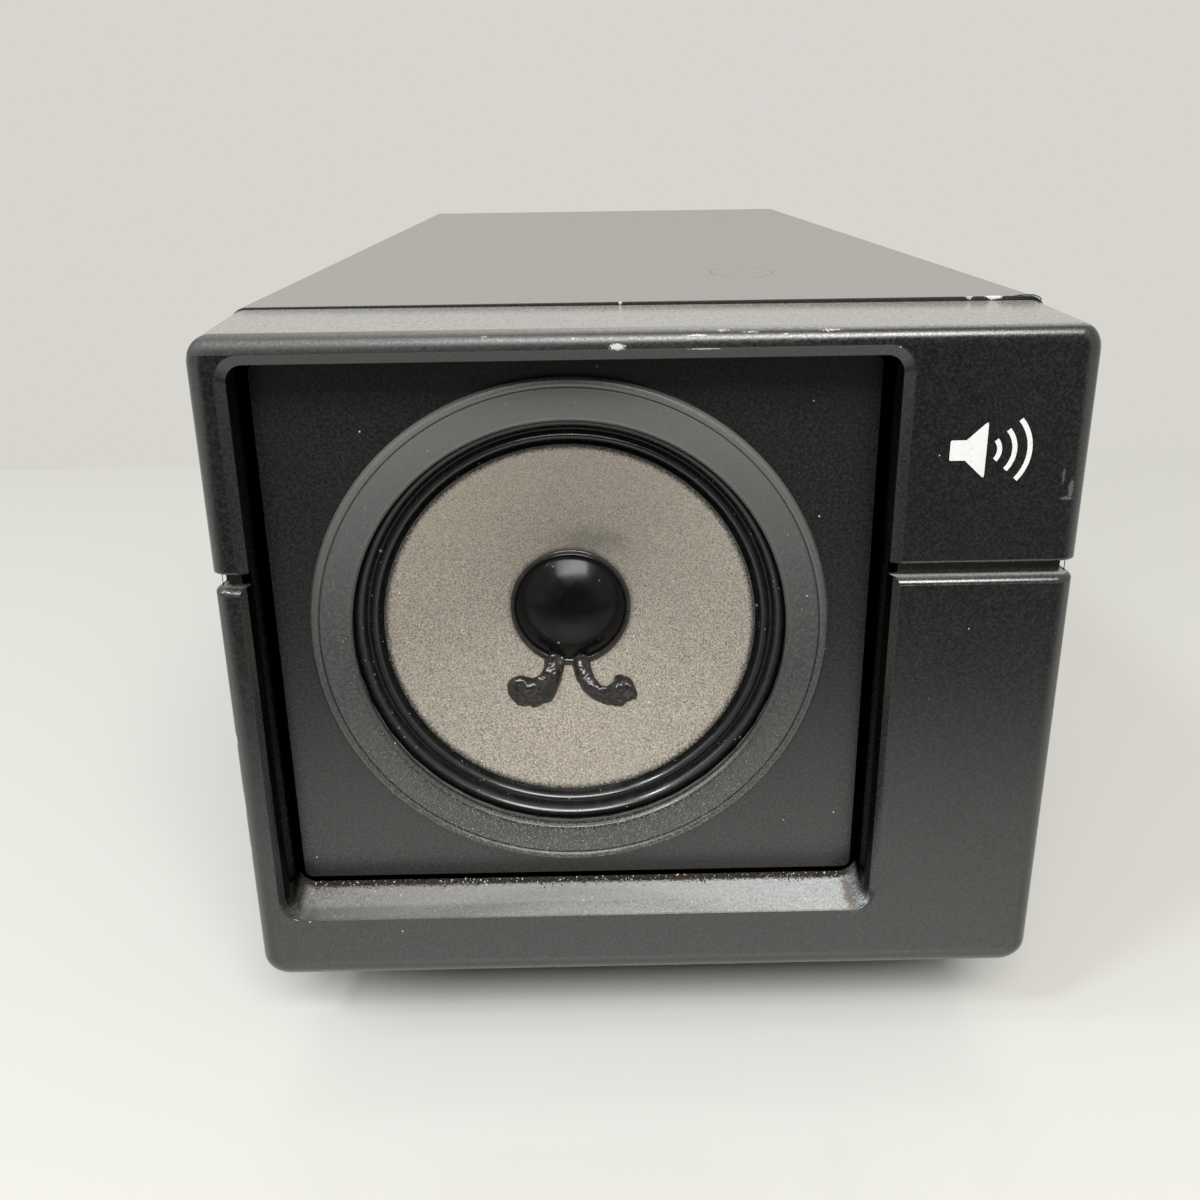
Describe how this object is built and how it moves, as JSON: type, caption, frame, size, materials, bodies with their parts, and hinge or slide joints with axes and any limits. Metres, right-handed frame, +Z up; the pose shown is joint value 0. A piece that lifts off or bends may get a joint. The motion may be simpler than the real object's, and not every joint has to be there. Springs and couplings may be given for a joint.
{
  "type": "external loudspeaker",
  "caption": "Boxed external loudspeaker: a cone driver with a glossy dust cap behind the open window of a moulded front bezel, in a deep painted steel cabinet on round rubber feet.",
  "frame": {"origin": "centre of the footprint, on the plane that the rubber feet stand on", "axes": "+Z up, the front bezel faces -Y, +X is to the right of someone looking at the front"},
  "size_m": [0.13, 0.3, 0.1228],
  "materials": {
    "bezel_plastic": "fine-grained charcoal moulding, dusty and worn",
    "baffle_plastic": "textured black panel",
    "trim_plastic": "satin dark grey, fine grain",
    "cabinet_paint": "fine textured charcoal paint",
    "chassis_paint": "satin black paint",
    "rubber": "matt black",
    "black_screw": "black oxide",
    "zinc_steel": "zinc plated",
    "basket_steel": "passivated pressed steel",
    "ferrite": "sintered, dull",
    "cone_paper": "felted paper pulp",
    "surround_gloss": "doped cloth, glossy black",
    "cap_gloss": "lacquered, glossy black",
    "glue": "set black glue",
    "gasket_card": "pressed card",
    "spider_cloth": "resin-treated cloth",
    "terminal_card": "laminated phenolic card",
    "brass": "tinned brass",
    "copper": "enamelled copper wire",
    "former_film": "amber film",
    "wire_red": "PVC insulation",
    "wire_black": "PVC insulation",
    "felt": "grey felt",
    "nickel": "nickel plated",
    "jack_plastic": "black moulding",
    "braid": "woven tinsel"
  },
  "bodies": {
    "cabinet": {"baffle_panel": "baffle_plastic", "baffle_screw_1": "black_screw", "baffle_screw_2": "black_screw", "baffle_screw_3": "black_screw", "baffle_screw_4": "black_screw", "bezel_screw_1": "black_screw", "bezel_screw_2": "black_screw", "cabinet_cover": "cabinet_paint", "chassis": "chassis_paint", "clamp_screw_1": "black_screw", "clamp_screw_2": "black_screw", "clamp_screw_3": "black_screw", "clamp_screw_4": "black_screw", "cone_surround": "surround_gloss", "cover_screw_left_1": "black_screw", "cover_screw_left_2": "black_screw", "cover_screw_right_1": "black_screw", "cover_screw_right_2": "black_screw", "damping_pad": "felt", "driver_basket": "basket_steel", "driver_clamp_1": "zinc_steel", "driver_clamp_2": "zinc_steel", "driver_clamp_3": "zinc_steel", "driver_clamp_4": "zinc_steel", "driver_gasket": "gasket_card", "driver_trim_ring": "trim_plastic", "ferrite_magnet": "ferrite", "foot_front_left": "rubber", "foot_front_right": "rubber", "foot_rear_left": "rubber", "foot_rear_right": "rubber", "foot_screw_front_left": "zinc_steel", "foot_screw_front_right": "zinc_steel", "foot_screw_rear_left": "zinc_steel", "foot_screw_rear_right": "zinc_steel", "front_bezel": "bezel_plastic", "input_jack": "jack_plastic", "jack_nut": "nickel", "jack_washer": "nickel", "magnet_top_plate": "zinc_steel", "solder_tag_left": "brass", "solder_tag_right": "brass", "speaker_wire_left": "wire_black", "speaker_wire_right": "wire_red", "spider": "spider_cloth", "terminal_board": "terminal_card", "tinsel_lead_left": "braid", "tinsel_lead_right": "braid", "yoke_pole_piece": "zinc_steel"},
    "diaphragm": {"paper_cone": "cone_paper", "dust_cap": "cap_gloss", "voice_coil_former": "former_film", "voice_coil": "copper", "lead_glue_left": "glue", "lead_glue_right": "glue"}
  },
  "joints": [
    {"name": "diaphragm_travel", "type": "slide", "parent": "cabinet", "child": "diaphragm", "axis": [0, -1, 0], "range_m": [-0.002, 0.002], "stiffness_N_per_m": 2500, "deforming": ["cone_surround", "spider", "tinsel_lead_left", "tinsel_lead_right"]}
  ]
}
